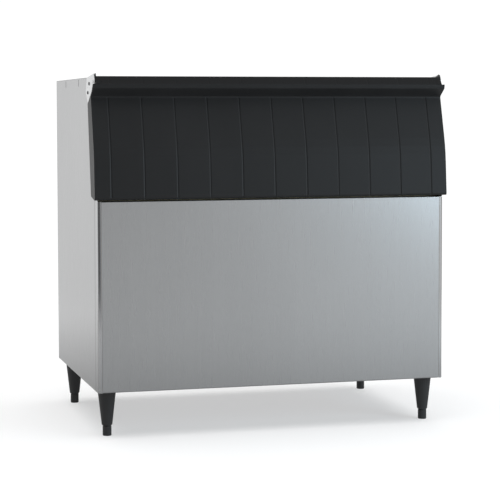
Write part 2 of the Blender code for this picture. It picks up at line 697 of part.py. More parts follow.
def drain():
    """Drain fitting through the floor, its nut underneath and the strainer over its mouth."""
    seat = CAVITY_FLOOR + GAP
    foot = LEG_HEIGHT - DRAIN_REACH
    fitting = [(DRAIN_BORE_RADIUS, seat + DRAIN_FLANGE), (DRAIN_FLANGE_RADIUS, seat + DRAIN_FLANGE),
               (DRAIN_FLANGE_RADIUS, seat), (DRAIN_TUBE_RADIUS, seat), (DRAIN_TUBE_RADIUS, foot), (DRAIN_BORE_RADIUS, foot)]
    turned("drain_fitting", fitting, drain_place(0), GREY_PLASTIC, closed=True)
    high = PAN_UNDERSIDE - GAP
    centre = (0, DRAIN_SETBACK)
    level_plate("drain_nut", ring(centre, DRAIN_NUT_RADIUS, NUT_SIDES), high - DRAIN_NUT_LENGTH, high, GREY_PLASTIC,
                [ring(centre, DRAIN_TUBE_RADIUS + GAP)])
    base = seat + DRAIN_FLANGE + GAP
    top = base + STRAINER_HEIGHT
    inner = STRAINER_RADIUS - STRAINER_WALL
    cup = [(0, top), (inner, top), (STRAINER_RADIUS, top - STRAINER_WALL), (STRAINER_RADIUS, base), (inner, base),
           (inner, top - STRAINER_WALL), (0, top - STRAINER_WALL)]
    strainer = turned("drain_strainer", cup, drain_place(0), GREY_PLASTIC)
    for index in range(STRAINER_CUTS):
        slot = block("drain_strainer_slot_%d" % (index + 1), (-DRAIN_FLANGE_RADIUS, DRAIN_FLANGE_RADIUS),
                     (-FRONT_Y - STRAINER_SLOT_WIDTH / 2, -FRONT_Y + STRAINER_SLOT_WIDTH / 2),
                     (base + STRAINER_WALL, top - 2 * STRAINER_WALL))
        slot.matrix_world = Matrix.Translation(drain_place(0)) @ Matrix.Rotation(math.pi * index / STRAINER_CUTS, 4, "Z")
        cut(strainer, slot)


def leg_places():
    """Point on the floor under each leg's axis."""
    rows = {"front": LEG_FRONT_INSET, "rear": DEPTH - LEG_REAR_INSET}
    return {"%s_%s" % (row, label): Vector((side * (HALF_WIDTH - LEG_SIDE_INSET), FRONT_Y + setback, 0))
            for row, setback in rows.items() for label, side in SIDES.items()}


def legs():
    """Leg, levelling foot and socket at each corner."""
    top = PAN_UNDERSIDE - GAP
    end = FOOT_HEIGHT + GAP
    bore = STUD_RADIUS + RUNNING_CLEARANCE
    bore_top = FOOT_HEIGHT + STUD_LENGTH + GAP
    leg = [(0, top + LEG_STUD), (STUD_RADIUS, top + LEG_STUD), (STUD_RADIUS, top), (LEG_TOP_RADIUS, top),
           (LEG_TOP_RADIUS, top - LEG_COLLAR), (LEG_END_RADIUS, end + LEG_END_CHAMFER),
           (LEG_END_RADIUS - LEG_END_CHAMFER, end), (bore, end), (bore, bore_top), (0, bore_top)]
    toe = rounded([(FOOT_RADIUS, FOOT_HEIGHT / 2, 0), (FOOT_RADIUS, 0, FOOT_ROUND), (0, 0, 0)])[1:]
    foot = [(0, FOOT_HEIGHT + STUD_LENGTH), (STUD_RADIUS, FOOT_HEIGHT + STUD_LENGTH), (STUD_RADIUS, FOOT_HEIGHT),
            (FOOT_NECK_RADIUS, FOOT_HEIGHT), (FOOT_RADIUS, FOOT_HEIGHT - FOOT_NECK), *[(p.x, p.y) for p in toe]]
    base = PAN_TOPSIDE + GAP
    socket = [(0, base + SOCKET_BOSS), (SOCKET_BOSS_RADIUS, base + SOCKET_BOSS), (SOCKET_BOSS_RADIUS, base + SOCKET_PLATE),
              (SOCKET_RADIUS, base + SOCKET_PLATE), (SOCKET_RADIUS, base), (bore, base), (bore, top + LEG_STUD + GAP),
              (0, top + LEG_STUD + GAP)]
    for label, place in leg_places().items():
        turned("leg_" + label, leg, place, BLACK_PLASTIC)
        turned("foot_" + label, foot, place, BLACK_PLASTIC)
        turned("leg_socket_" + label, socket, place, GALVANISED)


def arc_start(corner):
    """Index of the first point of a rounded corner's arc on the door's section."""
    return 1 + (corner - 1) * (ARC_STEPS + 1)


def arc_end(corner):
    """Index of the last point of a rounded corner's arc on the door's section."""
    return corner * (ARC_STEPS + 1)


def door_stations():
    """Places across the door where its section is drawn, and the share of the groove's depth at each."""
    pitch = 2 * DOOR_HALF / GROOVE_COUNT
    stations = {}
    for index in range(GROOVE_COUNT):
        centre = (index - (GROOVE_COUNT - 1) / 2) * pitch
        stations[centre - GROOVE_WIDTH / 2] = 0
        stations[centre] = 1
        stations[centre + GROOVE_WIDTH / 2] = 0
    for side in SIDES.values():
        for x in (DOOR_HALF, HALF_WIDTH - BOTTOM_END_CLEARANCE, HALF_WIDTH - BAND_END_INSET):
            stations[side * x] = 0
    return sorted(stations.items())


def flange_corners():
    """Outline that closes a side flange, from the bottom corner round the back to the crest."""
    back = rounded([dropped(-DOOR_PROUD, DOOR_DROP), dropped(FLANGE_FOOT_SETBACK, FLANGE_FOOT_DROP, FLANGE_CORNER),
                    dropped(FLANGE_TOP_SETBACK, FLANGE_TOP_DROP, FLANGE_CORNER),
                    dropped(FLANGE_NECK_SETBACK, FLANGE_NECK_DROP), dropped(FLANGE_THROAT_SETBACK, FLANGE_THROAT_DROP),
                    dropped(FLANGE_FRONT_SETBACK, FLANGE_FRONT_DROP), dropped(CREST_SETBACK, CREST_DROP)])
    return back[1:-1]


def door_shell():
    """Grooved outer moulding: band, rounded lip, face, bottom wall and side flanges."""
    section = rounded(door_corners())
    sunk = parallel(section, GROOVE_DEPTH)
    shares = [0] * len(section)
    for index in range(arc_end(4), arc_end(6) + 1):
        shares[index] = 1
    for index in (arc_end(1), arc_start(2)):
        shares[index] = BAND_GROOVE_SHARE
    shape = bmesh.new()
    columns = []
    for x, depth in door_stations():
        points = [a.lerp(b, depth * share) for a, b, share in zip(section, sunk, shares)]
        columns.append((x, [shape.verts.new((x, FRONT_Y + p.x, p.y)) for p in points]))
    front_face = None
    for (near_x, near), (far_x, far) in zip(columns, columns[1:]):
        reach = max(abs(near_x), abs(far_x))
        for index in range(len(section) - 1):
            past_band = index < arc_start(2) and reach > HALF_WIDTH - BAND_END_INSET + WELD
            past_wall = index >= arc_end(6) and reach > HALF_WIDTH - BOTTOM_END_CLEARANCE + WELD
            if not past_band and not past_wall:
                face = shape.faces.new((near[index], far[index], far[index + 1], near[index + 1]))
                front_face = front_face or face
    first, last = arc_start(2), arc_end(6)
    for x, column in (columns[0], columns[-1]):
        extra = [shape.verts.new((x, FRONT_Y + p.x, p.y)) for p in flange_corners()]
        shape.faces.new(column[first:last + 1] + extra)
    loose = [vert for vert in shape.verts if not vert.link_faces]
    bmesh.ops.delete(shape, geom=loose, context="VERTS")
    shape.faces.index_update()
    middle = min(shape.faces, key=lambda face: (face.calc_center_median() - Vector((0, FRONT_Y, SILL_HEIGHT))).length)
    middle.index = 0
    shape.faces.sort()
    return shell("door_shell", shape, (0, (0, -1, 0)), DOOR_WALL, BLACK_PLASTIC)


def face_path(top_drop, foot_drop, inset):
    """Part of the door's face line between two drops, moved inward from the outside."""
    cove = Vector(dropped(COVE_SETBACK, COVE_DROP)[:2])
    knee = Vector(dropped(KNEE_SETBACK, KNEE_DROP)[:2])
    foot = Vector(dropped(-DOOR_PROUD, DOOR_DROP)[:2])
    start = cove.lerp(knee, (top_drop - COVE_DROP) / (KNEE_DROP - COVE_DROP))
    end = knee.lerp(foot, (foot_drop - KNEE_DROP) / (DOOR_DROP - KNEE_DROP))
    return parallel(rounded([(*start, 0), (*knee, KNEE_RADIUS), (*end, 0)]), inset)


def pan_back(drop, depth=0):
    """Corner on the pan's back face, or a depth in front of it, at a drop."""
    height = TOTAL_HEIGHT - drop
    return (seat_setback(height) - DOOR_SEAT_DEPTH - depth / math.cos(SEAT_LEAN), height)


def door_pan():
    """Inner moulding of the door: rolled over the pivot line, flat behind the gasket, with end walls."""
    start = BAND_SETBACK + BAND_TOP_DEPTH + GAP
    top = TOTAL_HEIGHT + DOOR_TOP_RISE
    back = rounded([(start, top, 0), (PAN_REACH, top, PAN_ROLL_RADIUS), dropped(PAN_REACH, PAN_NECK_DROP, PAN_CORNER_RADIUS),
                    (*pan_back(PAN_SHOULDER_DROP), PAN_CORNER_RADIUS), (*pan_back(PAN_FOOT_DROP), BEND_RADIUS),
                    dropped(0, DOOR_DROP - BOTTOM_RADIUS)])
    front = face_path(COVE_DROP + COVE_RADIUS / 2, DOOR_DROP - BOTTOM_RADIUS - 4 * PAN_CLEARANCE, SHELL_DEPTH)
    sweep = back[:-1] + [front[-1]]
    shape = bmesh.new()
    columns = []
    for side in (-1, 1):
        columns.append([shape.verts.new((side * PAN_HALF, FRONT_Y + p.x, p.y)) for p in sweep])
    for index in range(len(sweep) - 1):
        shape.faces.new((columns[0][index], columns[0][index + 1], columns[1][index + 1], columns[1][index]))
    neck = Vector((start, TOTAL_HEIGHT - CREST_DROP))
    for side, column in zip((-1, 1), columns):
        extra = [shape.verts.new((side * PAN_HALF, FRONT_Y + p.x, p.y)) for p in front[-2::-1] + [neck]]
        shape.faces.new(column + extra)
    shape.faces.index_update()
    return shell("door_inner_pan", shape, (len(back) - 4, (0, 1, 0)), PAN_WALL, GREY_PLASTIC)


def door_foam():
    """Foam that fills the door between its shell and its pan."""
    lift = PAN_WALL + GAP
    front = face_path(FOAM_TOP_DROP, DOOR_DROP - BOTTOM_RADIUS - 4 * PAN_CLEARANCE - lift - PAN_CLEARANCE,
                      SHELL_DEPTH)
    back = [Vector(pan_back(PAN_FOOT_DROP, lift)) + Vector((0, lift + PAN_CLEARANCE)), Vector(pan_back(FOAM_TOP_DROP, lift))]
    half = PAN_HALF - PAN_WALL - GAP
    return side_plate("door_foam", front + back, -half, half, FOAM)


def door_gasket():
    """Ring seal on the pan's back, facing the slanted seat."""
    high = TOTAL_HEIGHT - PAN_SHOULDER_DROP - PAN_CORNER_RADIUS - GASKET_INSET
    low = TOTAL_HEIGHT - PAN_FOOT_DROP + GASKET_INSET
    half_x = PAN_HALF - GASKET_INSET
    half_v = (high - low) / math.cos(SEAT_LEAN) / 2
    loops = []
    for inset in (0, GASKET_WIDTH):
        u, v, r = half_x - inset, half_v - inset, GASKET_CORNER - inset
        loops.append(rounded([(-u, -v, r), (u, -v, r), (u, v, r), (-u, v, r)], closed=True))
    middle = (high + low) / 2
    depth = (GAP + GASKET_THICKNESS / 2) / math.cos(SEAT_LEAN)
    lean = Matrix.Rotation(math.pi / 2 - SEAT_LEAN, 4, "X")
    frame = Matrix.Translation((0, FRONT_Y + seat_setback(middle) - depth, middle)) @ lean
    return plate("door_gasket", loops, GASKET_THICKNESS, frame, RUBBER)


def end_cap(label, side):
    """Black block at the end of the band, with a thin ear beside the bracket and the pin's bore."""
    name = "door_end_cap_" + label
    section = rounded(door_corners())
    crest = section[arc_start(2)]
    up = (section[arc_end(1)] - crest).normalized()
    inward = Vector((up.y, -up.x))
    toe = crest + up * PAN_CLEARANCE
    heel = toe + inward * (2 * DOOR_WALL)
    top = TOTAL_HEIGHT + DOOR_TOP_RISE
    back = PIVOT_SETBACK + CAP_BACK_RADIUS
    low = PIVOT_DROP + CAP_BACK_RADIUS
    outline = rounded([(*toe, 0), (BAND_SETBACK, top, BAND_TOP_RADIUS), (back, top, CAP_CORNER),
                       dropped(back, low, CAP_CORNER), dropped(CAP_HEEL_SETBACK, low), (*heel, 0)], closed=True)
    inner = HALF_WIDTH - BAND_END_INSET + GAP
    outer = HALF_WIDTH - CAP_SIDE_CLEARANCE
    cap = side_plate(name, outline, side * inner, side * outer, BLACK_PLASTIC)
    root = toe + (up + inward) * CAP_EAR_SET
    peak = root + up * ((TOTAL_HEIGHT + CAP_PEAK_RISE - root.y) / up.y)
    tail = (back - CAP_CORNER / 2, top - CAP_CORNER / 2)
    ear = rounded([(*root, 0), (*peak, CAP_PEAK_RADIUS), (*tail, 0)], closed=True)
    join(cap, side_plate(name + "_ear", ear, side * (outer - CAP_EAR), side * (outer - CAP_EAR_SET)))
    outward = Vector((side, 0, 0))
    axis = Vector(PIVOT)
    cut(cap, rod(name + "_bore", PIN_RADIUS + RUNNING_CLEARANCE, axis + outward * (inner - CUT_OVERRUN),
                 axis + outward * (outer + CUT_OVERRUN)))
    return cap


def bracket(label, side):
    """Steel hinge plate on the outside of a side panel, with its ear round the pin, and its screws."""
    outline = rounded([
        dropped(BRACKET_TOP_SETBACK, BRACKET_TOP_DROP, BRACKET_ROUND),
        dropped(BRACKET_PEAK_SETBACK, -BRACKET_PEAK_RISE, BRACKET_ROUND),
        dropped(BRACKET_EAR_SETBACK, PIVOT_DROP / 2, BRACKET_EAR_ROUND),
        dropped(BRACKET_CHIN_SETBACK, BRACKET_CHIN_DROP, BRACKET_EAR_ROUND),
        dropped(BRACKET_WAIST_SETBACK, BRACKET_WAIST_DROP), dropped(BRACKET_TIP_SETBACK, BRACKET_TIP_DROP, BRACKET_ROUND),
        dropped(BRACKET_BACK_SETBACK, BRACKET_BACK_DROP, BRACKET_ROUND)], closed=True)
    holes = [ring(dropped(PIVOT_SETBACK, PIVOT_DROP), PIN_RADIUS + RUNNING_CLEARANCE)]
    for setback, drop in zip(BRACKET_SCREW_SETBACKS, BRACKET_SCREW_DROPS):
        holes.append(ring(dropped(setback, drop), SCREW_RADIUS + GAP))
    side_plate("hinge_bracket_" + label, outline, side * BRACKET_INNER, side * BRACKET_OUTER, BRIGHT_STEEL, holes)


def hinge(label, side, panel):
    """Hinge bracket, pin and screws on one side."""
    bracket(label, side)
    outward = Vector((side, 0, 0))
    length = BRACKET_OUTER - (HALF_WIDTH - BAND_END_INSET) - PAN_CLEARANCE
    pin = [(0, GAP + PIN_HEAD_THICKNESS), (PIN_HEAD_RADIUS, GAP + PIN_HEAD_THICKNESS), (PIN_HEAD_RADIUS, GAP), (PIN_RADIUS, GAP),
           (PIN_RADIUS, -length), (0, -length)]
    turned("hinge_pin_" + label, pin, Vector(PIVOT) + outward * BRACKET_OUTER, BRIGHT_STEEL, outward)
    for index, (setback, drop) in enumerate(zip(BRACKET_SCREW_SETBACKS, BRACKET_SCREW_DROPS)):
        seat = Vector((side * BRACKET_OUTER, FRONT_Y + setback, TOTAL_HEIGHT - drop))
        name = "bracket_screw_%s_%d" % (label, index + 1)
        cut(panel, rod(name + "_panel_hole", SCREW_RADIUS + GAP, seat, seat - outward * CUT_OVERRUN))
        screw(name, seat, outward, BRACKET_PLATE + SHEET + GAP)


def door():
    """The moving door, hung on a guide at the pin's axis."""
    guide = bpy.data.objects.new("door_axis", None)
    guide.location = PIVOT
    PARTS.objects.link(guide)
    pieces = [door_shell(), door_pan(), door_foam(), door_gasket()]
    for label, side in SIDES.items():
        pieces.append(end_cap(label, side))
    bpy.context.view_layer.update()
    for piece in pieces:
        piece.parent = guide
        piece.matrix_parent_inverse = guide.matrix_world.inverted()


def shade():
    """Shades the turned and moulded pieces smooth but for their sharp edges."""
    for made in PARTS.objects:
        if made.type == "MESH":
            made.data.shade_smooth()
            made.data.set_sharp_from_angle(angle=math.radians(30))


panels()
top_frame()
header()
strap_rails()
liner()
cabinet_foam()
baffle()
drain()
legs()
for hinge_label, hinge_side in SIDES.items():
    hinge(hinge_label, hinge_side, bpy.data.objects[hinge_label + "_side_panel"])
door()
shade()
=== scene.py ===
"""Ice storage bin dressed for rendering: materials, small fittings, soft studio and camera."""

import math

import bmesh
import bpy
from mathutils import Matrix, Vector


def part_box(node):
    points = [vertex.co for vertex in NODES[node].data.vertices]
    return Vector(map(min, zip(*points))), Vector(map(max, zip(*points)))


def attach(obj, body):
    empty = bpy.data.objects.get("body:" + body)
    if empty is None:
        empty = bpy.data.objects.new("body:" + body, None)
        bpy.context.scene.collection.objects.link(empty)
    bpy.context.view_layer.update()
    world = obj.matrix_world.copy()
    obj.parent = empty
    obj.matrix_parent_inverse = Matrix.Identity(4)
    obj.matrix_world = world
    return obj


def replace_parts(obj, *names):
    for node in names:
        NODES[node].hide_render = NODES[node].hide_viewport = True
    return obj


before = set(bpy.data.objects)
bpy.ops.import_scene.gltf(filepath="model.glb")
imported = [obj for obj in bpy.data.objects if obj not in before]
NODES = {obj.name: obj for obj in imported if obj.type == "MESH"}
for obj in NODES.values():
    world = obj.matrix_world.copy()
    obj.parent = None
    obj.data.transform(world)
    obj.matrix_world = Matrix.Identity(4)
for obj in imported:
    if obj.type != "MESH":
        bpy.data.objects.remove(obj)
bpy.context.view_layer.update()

# Camera that matches the photograph, for a square frame, with its angles in degrees
CAMERA_PLACE = (-1.5286, -5.6736, 1.0566)
CAMERA_TURN = 15.33
CAMERA_TILT = 3.04
CAMERA_ROLL = -0.13
SENSOR_WIDTH = 36.0
FOCAL_SHARE = 3.344
SHIFT = 0.1
VIEW_END = 200.0

WHITE = (1, 1, 1, 1)
BLACK = (0, 0, 0, 1)

# Floor, and its painted shadow seen only in the steel: the share by which the steel mirrors it dimmer, whole
# up to NEAR and gone beyond FAR
FLOOR_SIZE = 7.0
FLOOR_GLOW = 0.48
FLOOR_ROUGHNESS = 0.9
FLOOR_COLOUR = (0.44, 0.44, 0.44, 1)
MIRRORED_SHADE = 0.53
MIRRORED_SHADE_NEAR = 0.9
MIRRORED_SHADE_FAR = 3.0

# Surroundings: brightness by the angle in degrees round the bin, from its front towards its right
SURROUNDINGS = ((-180, 0.98), (-160, 1.02), (-145, 1.62), (-120, 1.90), (-104, 1.25), (-90, 0.80),
                (-76, 0.30), (-60, 0.15), (-20, 0.18), (0, 0.47), (14, 0.93), (34, 1.30),
                (58, 1.35), (82, 1.20), (98, 0.50), (152, 0.36), (172, 0.90), (180, 0.98))

# Ceiling: its colour, and the upward share of a direction where it starts and where it is full
CEILING = (0.55, 0.55, 0.56, 1)
CEILING_STARTS = 0.45
CEILING_FULL = 0.90

# What matt surfaces get from all sides, and what the camera sees behind the bin
AMBIENT = (0.15, 0.15, 0.152, 1)
BACKDROP = (1.05, 1.05, 1.05, 1)

# Lamps: a wide soft light from straight above and a softbox in front at the right
TOP_LIGHT_DEGREES = 80
TOP_LIGHT_STRENGTH = 3.6
SOFTBOX_PLACE = (2.3, -2.9, 1.35)
SOFTBOX_AIM = (0.3, -0.4, 0.75)
SOFTBOX_SIZE = (1.6, 1.2)
SOFTBOX_POWER = 40
SOFTBOX_COLOUR = (0.68, 0.87, 1.0)

# Darker and lighter tone of each finish
STEEL_TONES = ((0.308, 0.312, 0.316), (0.344, 0.348, 0.352))
BRIGHT_TONES = ((0.50, 0.51, 0.52), (0.58, 0.585, 0.59))
SCREW_TONES = ((0.06, 0.06, 0.062), (0.10, 0.10, 0.105))
ZINC_TONES = ((0.42, 0.43, 0.45), (0.58, 0.59, 0.61))
DOOR_TONES = ((0.0135, 0.0139, 0.0144), (0.0170, 0.0174, 0.0180))
CAP_TONES = ((0.0065, 0.0067, 0.0070), (0.0085, 0.0088, 0.0090))
LEG_TONES = ((0.022, 0.0224, 0.0230), (0.028, 0.0285, 0.0292))
FOOT_TONES = ((0.022, 0.0226, 0.0232), (0.031, 0.0316, 0.0324))
PAN_TONES = ((0.16, 0.165, 0.17), (0.19, 0.195, 0.20))
FITTING_TONES = ((0.17, 0.17, 0.175), (0.21, 0.21, 0.215))
LINER_TONES = ((0.70, 0.72, 0.73), (0.76, 0.78, 0.79))
FOAM_TONES = ((0.66, 0.56, 0.34), (0.76, 0.66, 0.42))
RUBBER_TONES = ((0.030, 0.030, 0.031), (0.042, 0.042, 0.043))

# Brushed steel: grain and clouds in waves per metre, wipe marks, relief and ranges of roughness
UPRIGHT_GRAIN = (900.0, 900.0, 10.0)
LEVEL_GRAIN = (10.0, 900.0, 900.0)
BRIGHT_GRAIN = (260.0, 260.0, 260.0)
SCREW_GRAIN = (400.0, 400.0, 400.0)
CLOUD_WAVES = (1.6, 1.6, 1.2)
WIPE_LENGTH = 12
WIPE_SHARE = 0.18
GRAIN_RELIEF = 0.000004
WALL_ROUGHNESS = (0.26, 0.32)
TOP_ROUGHNESS = (0.34, 0.42)
BRIGHT_ROUGHNESS = (0.22, 0.34)
SCREW_ROUGHNESS = (0.35, 0.5)

# Zinc spangle: cells in waves per metre, their reach, their range of roughness and their relief
SPANGLE_WAVES = (140.0, 140.0, 140.0)
SPANGLE_REACH = 0.9
SPANGLE_ROUGHNESS = (0.38, 0.55)
SPANGLE_RELIEF = 0.000006

# Toning of the moulded plastics in waves per metre
MOTTLE_WAVES = (5.0, 5.0, 3.0)

# Corner fold and seam of the side panels
FOLD_DEPTH = 0.0095
FOLD_FADE = 0.003
FOLD_ROUGHNESS = 0.13
SEAM_SETBACK = 0.045
SEAM_HALF = 0.0026
SEAM_FADE = 0.0006
SEAM_DARK = (0.02, 0.02, 0.021, 1)

# Painted shade: a darker band over the door's crest, darkened against the light its upward face catches
BAND_DROP = 0.0235
BAND_FADE = 0.002
BAND_PAINTED_SHADE = (0.0090, 0.0092, 0.0096, 1)

# Upper edge of the door's side flanges, packed and photographed: setbacks and drops from the front top edge
FLANGE_PACKED = ((0.024, 0.026), (0.060, 0.033), (0.074, 0.046), (0.1102, 0.0738), (0.1116, 0.0754),
                 (0.1124, 0.0774), (0.1124, 0.0796))
FLANGE_LOWERED = ((0.040, 0.050), (0.054, 0.0568), (0.071, 0.0655), (0.1085, 0.0848), (0.1098, 0.0860),
                  (0.1106, 0.0876), (0.1104, 0.0900))
FLANGE_THICKNESS = 0.0045
FLANGE_MATCH = 0.0006
WELD = 0.00001

# Bracket plate: corners as setback, drop and corner radius, and its holes as setback, drop and radius
BRACKET_CORNERS = ((0.166, 0.001, 0.007), (0.036, -0.0105, 0.007), (0.025, 0.008, 0.010),
                   (0.027, 0.036, 0.006), (0.050, 0.053, 0.004), (0.0565, 0.067, 0.003),
                   (0.074, 0.080, 0.006), (0.105, 0.0895, 0.010), (0.144, 0.087, 0.007),
                   (0.186, 0.048, 0.007))
BRACKET_HOLES = ((0.050, 0.016, 0.0041), (0.121, 0.021, 0.0028), (0.146, 0.050, 0.0028))
CORNER_STEPS = 5

# Screw and rivet heads: dome, cross recess and a rivet's crown, as shares of radius and rise
ROUND_SIDES = 16
HEAD_SINK = 0.0004
HEAD_DOME = ((1, 0.30), (0.93, 0.66), (0.76, 0.92), (0.55, 1))
CROSS_REACH = 0.46
CROSS_WAIST = 0.17
CROSS_TAPER = 0.9
CROSS_FLOOR = 0.25
CROWN_REACH = 0.25
CROWN_RISE = 1.04

# Places of the fixings
BACK_SCREW_INSET = 0.0275
BACK_SCREW_MARGIN = 0.040
BACK_SCREW_COUNT = 7
SILL_SCREW_COUNT = 4
SOCKET_RIVET_REACH = 0.0262
HEM_SCREW_INSET = 0.0095
HEM_SCREW_MARGIN = 0.150
HEM_SCREW_COUNT = 4


class Graph:
    """Short way to build a material's or the world's node tree."""

    def __init__(self, tree):
        self.tree = tree

    def add(self, kind, **settings):
        """New node with its settings."""
        node = self.tree.nodes.new(kind)
        for key, value in settings.items():
            setattr(node, key, value)
        return node

    def feed(self, socket, value):
        """Gives an input its value, plainly or from another node's output."""
        if isinstance(value, bpy.types.NodeSocket):
            self.tree.links.new(value, socket)
        else:
            socket.default_value = value

    def mix(self, factor, first, second, kind="RGBA"):
        """Mix of two colours, or of two numbers where the kind is FLOAT."""
        made = self.add("ShaderNodeMix", data_type=kind)
        self.feed(made.inputs["Factor"], factor)
        self.feed(made.inputs["A"], first)
        self.feed(made.inputs["B"], second)
        return made.outputs["Result"]

    def calculate(self, operation, *values):
        """Result of a calculation."""
        made = self.add("ShaderNodeMath", operation=operation)
        for socket, value in zip(made.inputs, values):
            self.feed(socket, value)
        return made.outputs["Value"]

    def place(self, scale=(1, 1, 1)):
        """Object coordinates stretched by a scale per axis."""
        coordinates = self.add("ShaderNodeTexCoord")
        mapping = self.add("ShaderNodeMapping")
        self.feed(mapping.inputs["Scale"], scale)
        self.feed(mapping.inputs["Vector"], coordinates.outputs["Object"])
        return mapping.outputs["Vector"]

    def axis(self, letter):
        """One object coordinate in metres."""
        split = self.add("ShaderNodeSeparateXYZ")
        self.feed(split.inputs["Vector"], self.place())
        return split.outputs[letter]

    def noise(self, waves, detail=3.0, roughness=0.5):
        """Noise in object space, given in waves per metre along each axis."""
        made = self.add("ShaderNodeTexNoise")
        self.feed(made.inputs["Scale"], 1.0)
        self.feed(made.inputs["Detail"], detail)
        self.feed(made.inputs["Roughness"], roughness)
        self.feed(made.inputs["Vector"], self.place(waves))
        return made.outputs["Fac"]

    def spread(self, source, low, high, start=0.25, end=0.75):
        """A value from start to end turned into one from low to high."""
        made = self.add("ShaderNodeMapRange")
        self.feed(made.inputs["From Min"], start)
        self.feed(made.inputs["From Max"], end)
        self.feed(made.inputs["To Min"], low)
        self.feed(made.inputs["To Max"], high)
        self.feed(made.inputs["Value"], source)
        return made.outputs["Result"]

    def tint(self, source, tones, start=0.25, end=0.75):
        """A value from start to end turned into a colour between two tones."""
        low, high = tones
        return self.mix(self.spread(source, 0, 1, start, end), (*low, 1), (*high, 1))

    def bump(self, source, height):
        """Surface relief of a real height in metres."""
        made = self.add("ShaderNodeBump")
        self.feed(made.inputs["Strength"], 1.0)
        self.feed(made.inputs["Distance"], height)
        self.feed(made.inputs["Height"], source)
        return made.outputs["Normal"]


def blank(name, **sockets):
    """Principled material with its plain values set on the shader, an underscore standing for a space."""
    made = bpy.data.materials.new(name)
    made.use_nodes = True
    shader = made.node_tree.nodes["Principled BSDF"]
    for key, value in sockets.items():
        shader.inputs[key.replace("_", " ")].default_value = value
    return made, shader.inputs, Graph(made.node_tree)


def reopened(made):
    """Shader inputs and node tree of a finished material, to add to it."""
    return made.node_tree.nodes["Principled BSDF"].inputs, Graph(made.node_tree)


def brushed_steel(name, tones, grain, roughness):
    """Sheet steel with a fine grain along one axis, broad cloudy toning and faint wipe marks."""
    made, inputs, graph = blank(name, Metallic=1.0)
    fine = graph.noise(grain, detail=4.0, roughness=0.6)
    cloudy = graph.tint(graph.noise(CLOUD_WAVES, detail=2.0), tones)
    wiped = graph.tint(graph.noise(tuple(value / WIPE_LENGTH for value in grain), detail=2.0), tones)
    graph.feed(inputs["Base Color"], graph.mix(WIPE_SHARE, cloudy, wiped))
    graph.feed(inputs["Roughness"], graph.spread(fine, *roughness))
    graph.feed(inputs["Normal"], graph.bump(fine, GRAIN_RELIEF))
    return made


def folded_steel(name, tones, grain, roughness, front):
    """Brushed sheet whose front fold is polished by handling, with the dark seam beside its corner post."""
    made = brushed_steel(name, tones, grain, roughness)
    inputs, graph = reopened(made)
    depth = graph.axis("Y")
    fold = graph.spread(depth, 1, 0, front + FOLD_DEPTH, front + FOLD_DEPTH + FOLD_FADE)
    brushed = inputs["Roughness"].links[0].from_socket
    graph.feed(inputs["Roughness"], graph.mix(fold, brushed, FOLD_ROUGHNESS, "FLOAT"))
    away = graph.calculate("ABSOLUTE", graph.calculate("SUBTRACT", depth, front + SEAM_SETBACK))
    seam = graph.spread(away, 1, 0, SEAM_HALF, SEAM_HALF + SEAM_FADE)
    plain = inputs["Base Color"].links[0].from_socket
    graph.feed(inputs["Base Color"], graph.mix(seam, plain, SEAM_DARK))
    return made


def galvanised(name, tones):
    """Zinc coated sheet with its spangle."""
    made, inputs, graph = blank(name, Metallic=1.0)
    cells = graph.add("ShaderNodeTexVoronoi", feature="F1")
    graph.feed(cells.inputs["Scale"], 1.0)
    graph.feed(cells.inputs["Vector"], graph.place(SPANGLE_WAVES))
    spangle = cells.outputs["Distance"]
    graph.feed(inputs["Base Color"], graph.tint(spangle, tones, 0, SPANGLE_REACH))
    graph.feed(inputs["Roughness"], graph.spread(spangle, *SPANGLE_ROUGHNESS, 0, SPANGLE_REACH))
    graph.feed(inputs["Normal"], graph.bump(spangle, SPANGLE_RELIEF))
    return made


def moulded_plastic(name, tones, roughness=(0.42, 0.52), pebbles=900.0, relief=0.00003, shine=0.5):
    """Moulded plastic with slight toning and a fine pebble, given in waves per metre."""
    made, inputs, graph = blank(name, Specular_IOR_Level=shine)
    mottle = graph.noise(MOTTLE_WAVES)
    pebble = graph.noise((pebbles, pebbles, pebbles), detail=2.0, roughness=0.55)
    graph.feed(inputs["Base Color"], graph.tint(mottle, tones))
    graph.feed(inputs["Roughness"], graph.spread(mottle, *roughness))
    graph.feed(inputs["Normal"], graph.bump(pebble, relief))
    return made


def plastic_with_shade_band(name, tones, crest, shine):
    """Moulded plastic with a painted shade band, darker above a height."""
    made = moulded_plastic(name, tones, shine=shine)
    inputs, graph = reopened(made)
    shade_band = graph.spread(graph.axis("Z"), 0, 1, crest - BAND_FADE, crest + BAND_FADE)
    plain = inputs["Base Color"].links[0].from_socket
    graph.feed(inputs["Base Color"], graph.mix(shade_band, plain, BAND_PAINTED_SHADE))
    return made


STEEL_UPRIGHT = brushed_steel("steel_upright_grain", STEEL_TONES, UPRIGHT_GRAIN, WALL_ROUGHNESS)
STEEL_FOLDED = folded_steel("steel_folded_grain", STEEL_TONES, UPRIGHT_GRAIN, WALL_ROUGHNESS,
                            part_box("front_panel")[0][1])
STEEL_FLAT = brushed_steel("steel_level_grain", STEEL_TONES, LEVEL_GRAIN, TOP_ROUGHNESS)
BRIGHT = brushed_steel("bright_zinc", BRIGHT_TONES, BRIGHT_GRAIN, BRIGHT_ROUGHNESS)
SCREW_DARK = brushed_steel("screw_dark", SCREW_TONES, SCREW_GRAIN, SCREW_ROUGHNESS)
ZINC = galvanised("galvanised_sheet", ZINC_TONES)
# Black door plastic carrying the painted shade band over its crest
DOOR_BLACK_SHADE_BANDED = plastic_with_shade_band("door_black_shade_banded", DOOR_TONES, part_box("top_frame")[1][2] - BAND_DROP, shine=0.16)
CAP_BLACK = moulded_plastic("cap_black", CAP_TONES, roughness=(0.38, 0.46), shine=0.2)
LEG_BLACK = moulded_plastic("leg_black", LEG_TONES, roughness=(0.45, 0.55), shine=0.3)
FOOT_BLACK = moulded_plastic("foot_black", FOOT_TONES, roughness=(0.5, 0.65), shine=0.3)
